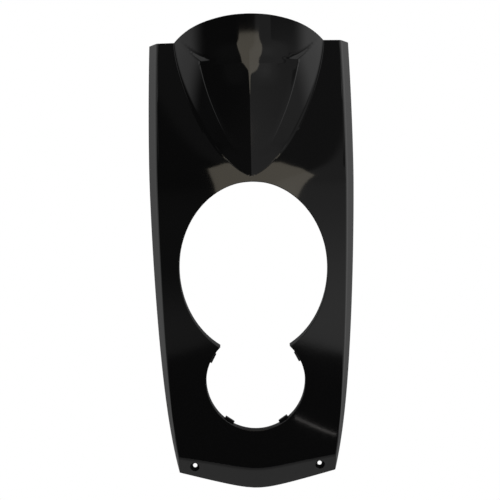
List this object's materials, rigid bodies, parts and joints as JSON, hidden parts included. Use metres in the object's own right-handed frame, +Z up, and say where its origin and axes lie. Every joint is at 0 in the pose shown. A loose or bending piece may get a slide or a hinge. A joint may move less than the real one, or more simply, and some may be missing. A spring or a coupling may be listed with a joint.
{
  "type": "scooter front fairing",
  "caption": "Glossy black moulded scooter front panel with a headlamp opening, a round opening below it, a ridged beak and a half-round steering collar.",
  "frame": {"origin": "midway between the two screw seats in the bottom lip, on the plane of the seats", "axes": "+X to the right seen from the front, +Z up along the panel, the front of the panel faces -Y"},
  "size_m": [0.255, 0.0672, 0.5856],
  "materials": {
    "shell": "polished black moulding"
  },
  "bodies": {
    "root": {"front_fairing": "shell"}
  },
  "joints": []
}
